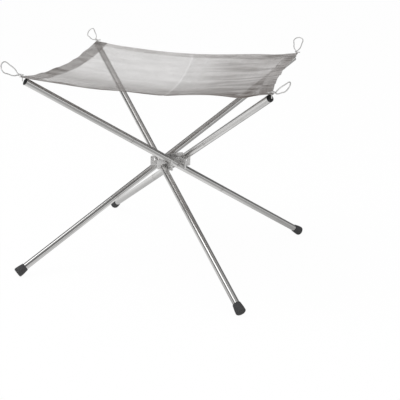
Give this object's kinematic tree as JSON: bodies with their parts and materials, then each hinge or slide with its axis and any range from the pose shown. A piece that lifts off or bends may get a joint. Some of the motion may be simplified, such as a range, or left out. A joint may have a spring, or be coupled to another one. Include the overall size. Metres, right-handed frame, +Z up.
{
  "type": "folding fire pit",
  "caption": "Folding fire pit: crossing tube legs riveted to a small hub, rubber feet, and a square of woven steel cloth hooked over the leg tips by wire finger loops.",
  "frame": {"origin": "on the ground under the middle of the hub", "axes": "+Z up, -Y towards the front of the picture, +X to its right"},
  "size_m": [0.5139, 0.5264, 0.4049],
  "materials": {
    "pressed_steel": "pressed bright sheet",
    "rivet_steel": "turned",
    "tube_steel": "bright drawn tube",
    "sleeve_steel": "drawn",
    "plug_black": "matt black",
    "foot_rubber": "matt dark grey",
    "steel_cloth": "fine woven wire",
    "spring_wire": "bright wire"
  },
  "bodies": {
    "hub": {"hub_ring": "pressed_steel", "stop_plate_front_left": "pressed_steel", "stop_plate_front_right": "pressed_steel", "stop_plate_back_right": "pressed_steel", "stop_plate_back_left": "pressed_steel"},
    "leg_front_left": {"rivet_front_left": "rivet_steel", "middle_tube_front_left": "tube_steel", "upper_sleeve_front_left": "sleeve_steel", "lower_sleeve_front_left": "sleeve_steel", "upper_tube_front_left": "tube_steel", "tip_plug_front_left": "plug_black"},
    "leg_front_right": {"rivet_front_right": "rivet_steel", "middle_tube_front_right": "tube_steel", "upper_sleeve_front_right": "sleeve_steel", "lower_sleeve_front_right": "sleeve_steel", "upper_tube_front_right": "tube_steel", "tip_plug_front_right": "plug_black"},
    "leg_back_right": {"rivet_back_right": "rivet_steel", "middle_tube_back_right": "tube_steel", "upper_sleeve_back_right": "sleeve_steel", "lower_sleeve_back_right": "sleeve_steel", "upper_tube_back_right": "tube_steel", "tip_plug_back_right": "plug_black"},
    "leg_back_left": {"rivet_back_left": "rivet_steel", "middle_tube_back_left": "tube_steel", "upper_sleeve_back_left": "sleeve_steel", "lower_sleeve_back_left": "sleeve_steel", "upper_tube_back_left": "tube_steel", "tip_plug_back_left": "plug_black"},
    "lower_leg_front_left": {"lower_tube_front_left": "tube_steel", "foot_front_left": "foot_rubber"},
    "lower_leg_front_right": {"lower_tube_front_right": "tube_steel", "foot_front_right": "foot_rubber"},
    "lower_leg_back_right": {"lower_tube_back_right": "tube_steel", "foot_back_right": "foot_rubber"},
    "lower_leg_back_left": {"lower_tube_back_left": "tube_steel", "foot_back_left": "foot_rubber"},
    "cloth_set": {"cloth": "steel_cloth", "hook_front_left": "spring_wire", "hook_front_right": "spring_wire", "hook_back_right": "spring_wire", "hook_back_left": "spring_wire"}
  },
  "joints": [
    {"name": "fold_front_left", "type": "hinge", "parent": "hub", "child": "leg_front_left", "pos_m": [0.01701, -0.01339, 0.18915], "axis": [-0.7071, 0.7071, 0], "range_deg": [0, 58]},
    {"name": "fold_front_right", "type": "hinge", "parent": "hub", "child": "leg_front_right", "pos_m": [0.01339, 0.01701, 0.18915], "axis": [-0.7071, -0.7071, 0], "range_deg": [0, 58]},
    {"name": "fold_back_right", "type": "hinge", "parent": "hub", "child": "leg_back_right", "pos_m": [-0.01701, 0.01339, 0.18915], "axis": [0.7071, -0.7071, 0], "range_deg": [0, 58]},
    {"name": "fold_back_left", "type": "hinge", "parent": "hub", "child": "leg_back_left", "pos_m": [-0.01339, -0.01701, 0.18915], "axis": [0.7071, 0.7071, 0], "range_deg": [0, 58]},
    {"name": "pull_front_left", "type": "slide", "parent": "leg_front_left", "child": "lower_leg_front_left", "axis": [0.6036, 0.6036, -0.521], "range_m": [0, 0.045]},
    {"name": "pull_front_right", "type": "slide", "parent": "leg_front_right", "child": "lower_leg_front_right", "axis": [-0.6036, 0.6036, -0.521], "range_m": [0, 0.045]},
    {"name": "pull_back_right", "type": "slide", "parent": "leg_back_right", "child": "lower_leg_back_right", "axis": [-0.6036, -0.6036, -0.521], "range_m": [0, 0.045]},
    {"name": "pull_back_left", "type": "slide", "parent": "leg_back_left", "child": "lower_leg_back_left", "axis": [0.6036, -0.6036, -0.521], "range_m": [0, 0.045]},
    {"name": "cloth_lift", "type": "slide", "parent": "hub", "child": "cloth_set", "axis": [0, 0, 1], "range_m": [0, 0.45]}
  ],
  "couplings": [
    {"joint": "fold_front_right", "follows": "fold_front_left", "ratio": 1},
    {"joint": "fold_back_right", "follows": "fold_front_left", "ratio": 1},
    {"joint": "fold_back_left", "follows": "fold_front_left", "ratio": 1},
    {"joint": "cloth_lift", "follows": "fold_front_left", "m_per_rad": 0.43}
  ]
}
